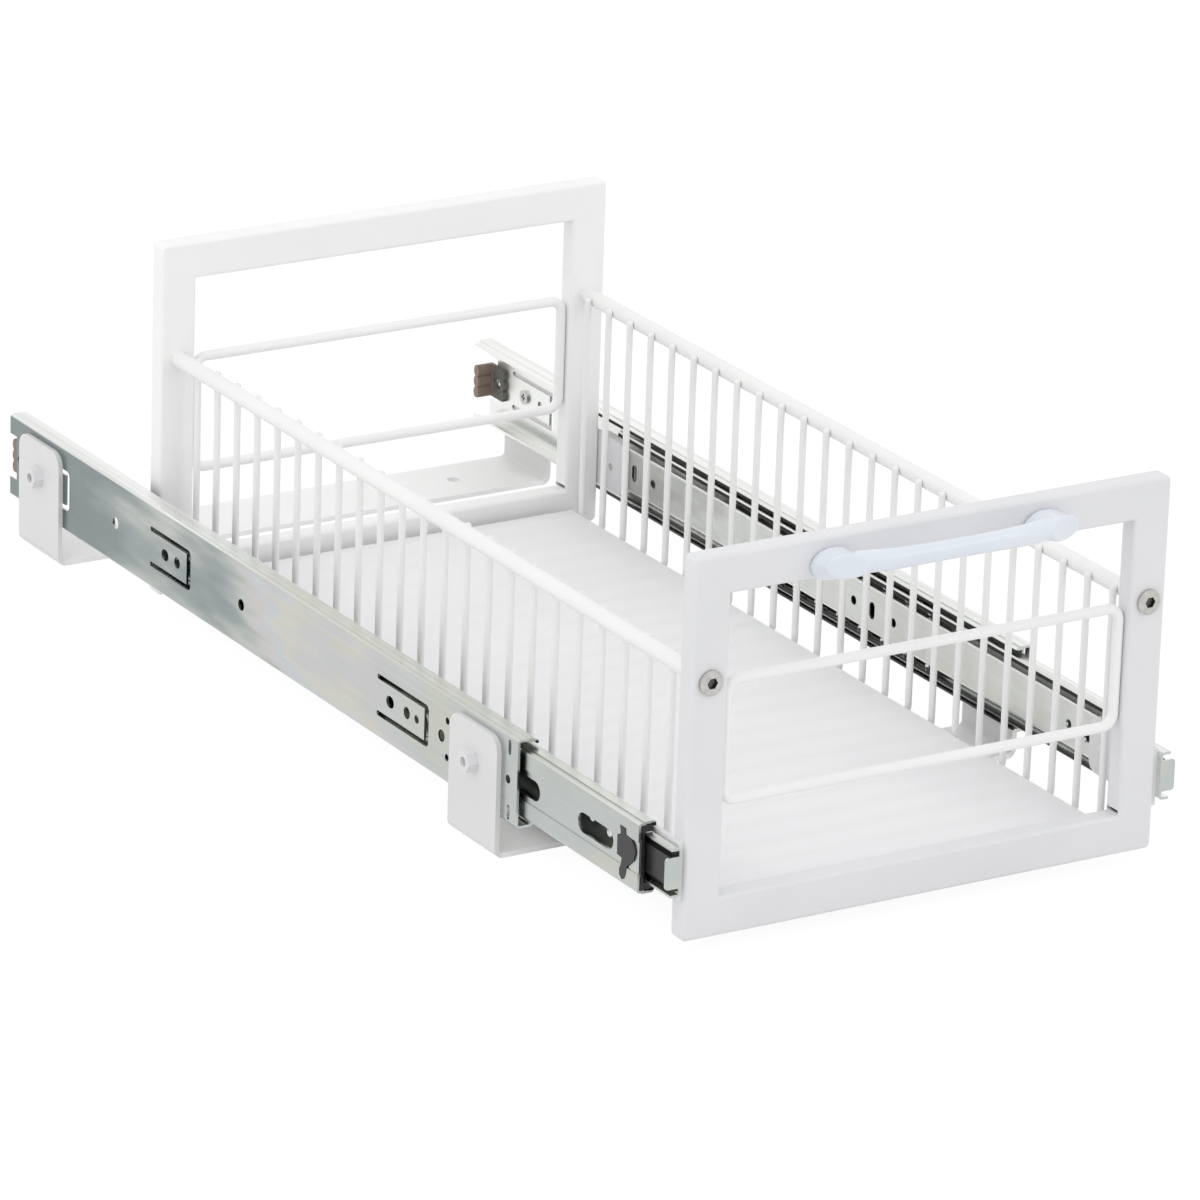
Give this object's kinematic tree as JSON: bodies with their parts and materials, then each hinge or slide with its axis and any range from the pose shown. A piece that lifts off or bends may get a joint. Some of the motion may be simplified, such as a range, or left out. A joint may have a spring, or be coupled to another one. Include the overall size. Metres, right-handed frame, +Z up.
{
  "type": "pull-out wire basket",
  "caption": "White wire basket between two tube frames, running out on side ball slides that stand on floor brackets; bow handle in front.",
  "frame": {"origin": "on the cabinet floor, at the centre of the four floor-screw holes in the brackets", "axes": "+Z up, -Y out of the cabinet towards the user, +X to the right seen from the front"},
  "size_m": [0.3094, 0.6775, 0.1955],
  "materials": {
    "white_powder_coat": "satin powder coat",
    "zinc_steel": "bright zinc plate with faint bluish and yellowish streaks",
    "retainer_steel": "oiled steel",
    "ball_steel": "polished",
    "stainless_steel": "turned",
    "black_plastic": "moulded",
    "brown_rubber": "moulded",
    "white_liner": "fine matt",
    "white_handle": "glossy moulded"
  },
  "bodies": {
    "cabinet_side": {"front_bracket": "white_powder_coat", "rear_bracket": "white_powder_coat", "bracket_nuts": "white_powder_coat", "bracket_screws": "zinc_steel", "left_outer_member": "zinc_steel", "right_outer_member": "zinc_steel", "left_rear_bumper": "brown_rubber", "right_rear_bumper": "brown_rubber"},
    "basket": {"left_inner_member": "zinc_steel", "right_inner_member": "zinc_steel", "left_lever_housing": "black_plastic", "right_lever_housing": "black_plastic", "lever_pins": "zinc_steel", "front_left_post": "white_powder_coat", "front_right_post": "white_powder_coat", "front_top_bar": "white_powder_coat", "front_bottom_bar": "white_powder_coat", "rear_left_post": "white_powder_coat", "rear_right_post": "white_powder_coat", "rear_top_bar": "white_powder_coat", "rear_bottom_bar": "white_powder_coat", "front_guard_ring": "white_powder_coat", "rear_guard_ring": "white_powder_coat", "left_top_rail": "white_powder_coat", "right_top_rail": "white_powder_coat", "rail_screws": "stainless_steel", "basket_wires": "white_powder_coat", "liner": "white_liner", "front_left_tab": "white_powder_coat", "rear_left_tab": "white_powder_coat", "front_right_tab": "white_powder_coat", "rear_right_tab": "white_powder_coat", "tab_screws": "zinc_steel", "handle": "white_handle", "handle_screws": "zinc_steel"},
    "left_middle": {"left_middle_member": "zinc_steel", "left_middle_latch": "black_plastic", "left_front_stop": "black_plastic"},
    "left_outer_cage": {"left_outer_retainer": "retainer_steel", "left_outer_balls": "ball_steel"},
    "left_inner_cage": {"left_inner_retainer": "retainer_steel", "left_inner_balls": "ball_steel"},
    "left_lever": {"left_release_lever": "black_plastic"},
    "right_middle": {"right_middle_member": "zinc_steel", "right_middle_latch": "black_plastic", "right_front_stop": "black_plastic"},
    "right_outer_cage": {"right_outer_retainer": "retainer_steel", "right_outer_balls": "ball_steel"},
    "right_inner_cage": {"right_inner_retainer": "retainer_steel", "right_inner_balls": "ball_steel"},
    "right_lever": {"right_release_lever": "black_plastic"}
  },
  "joints": [
    {"name": "left_middle_slide", "type": "slide", "parent": "cabinet_side", "child": "left_middle", "axis": [0, -1, 0], "range_m": [-0.10525, 0.15825]},
    {"name": "basket_slide", "type": "slide", "parent": "left_middle", "child": "basket", "axis": [0, -1, 0], "range_m": [-0.021, 0.2415]},
    {"name": "right_middle_slide", "type": "slide", "parent": "cabinet_side", "child": "right_middle", "axis": [0, -1, 0], "range_m": [-0.10525, 0.15825]},
    {"name": "left_outer_cage_roll", "type": "slide", "parent": "cabinet_side", "child": "left_outer_cage", "axis": [0, -1, 0], "range_m": [-0.05262, 0.07913]},
    {"name": "left_inner_cage_roll", "type": "slide", "parent": "left_middle", "child": "left_inner_cage", "axis": [0, -1, 0], "range_m": [-0.0105, 0.12075]},
    {"name": "right_outer_cage_roll", "type": "slide", "parent": "cabinet_side", "child": "right_outer_cage", "axis": [0, -1, 0], "range_m": [-0.05262, 0.07913]},
    {"name": "right_inner_cage_roll", "type": "slide", "parent": "right_middle", "child": "right_inner_cage", "axis": [0, -1, 0], "range_m": [-0.0105, 0.12075]},
    {"name": "left_lever_pivot", "type": "hinge", "parent": "basket", "child": "left_lever", "pos_m": [-0.1375, -0.35325, 0.043], "axis": [1, 0, 0], "range_deg": [-4, 4], "stiffness_Nm_per_rad": 0.05},
    {"name": "right_lever_pivot", "type": "hinge", "parent": "basket", "child": "right_lever", "pos_m": [0.1375, -0.35325, 0.043], "axis": [1, 0, 0], "range_deg": [-4, 4], "stiffness_Nm_per_rad": 0.05}
  ],
  "couplings": [
    {"joint": "right_middle_slide", "follows": "left_middle_slide", "ratio": 1},
    {"joint": "left_outer_cage_roll", "follows": "left_middle_slide", "ratio": 0.5},
    {"joint": "left_inner_cage_roll", "follows": "basket_slide", "ratio": 0.5},
    {"joint": "right_outer_cage_roll", "follows": "left_middle_slide", "ratio": 0.5},
    {"joint": "right_inner_cage_roll", "follows": "basket_slide", "ratio": 0.5}
  ]
}
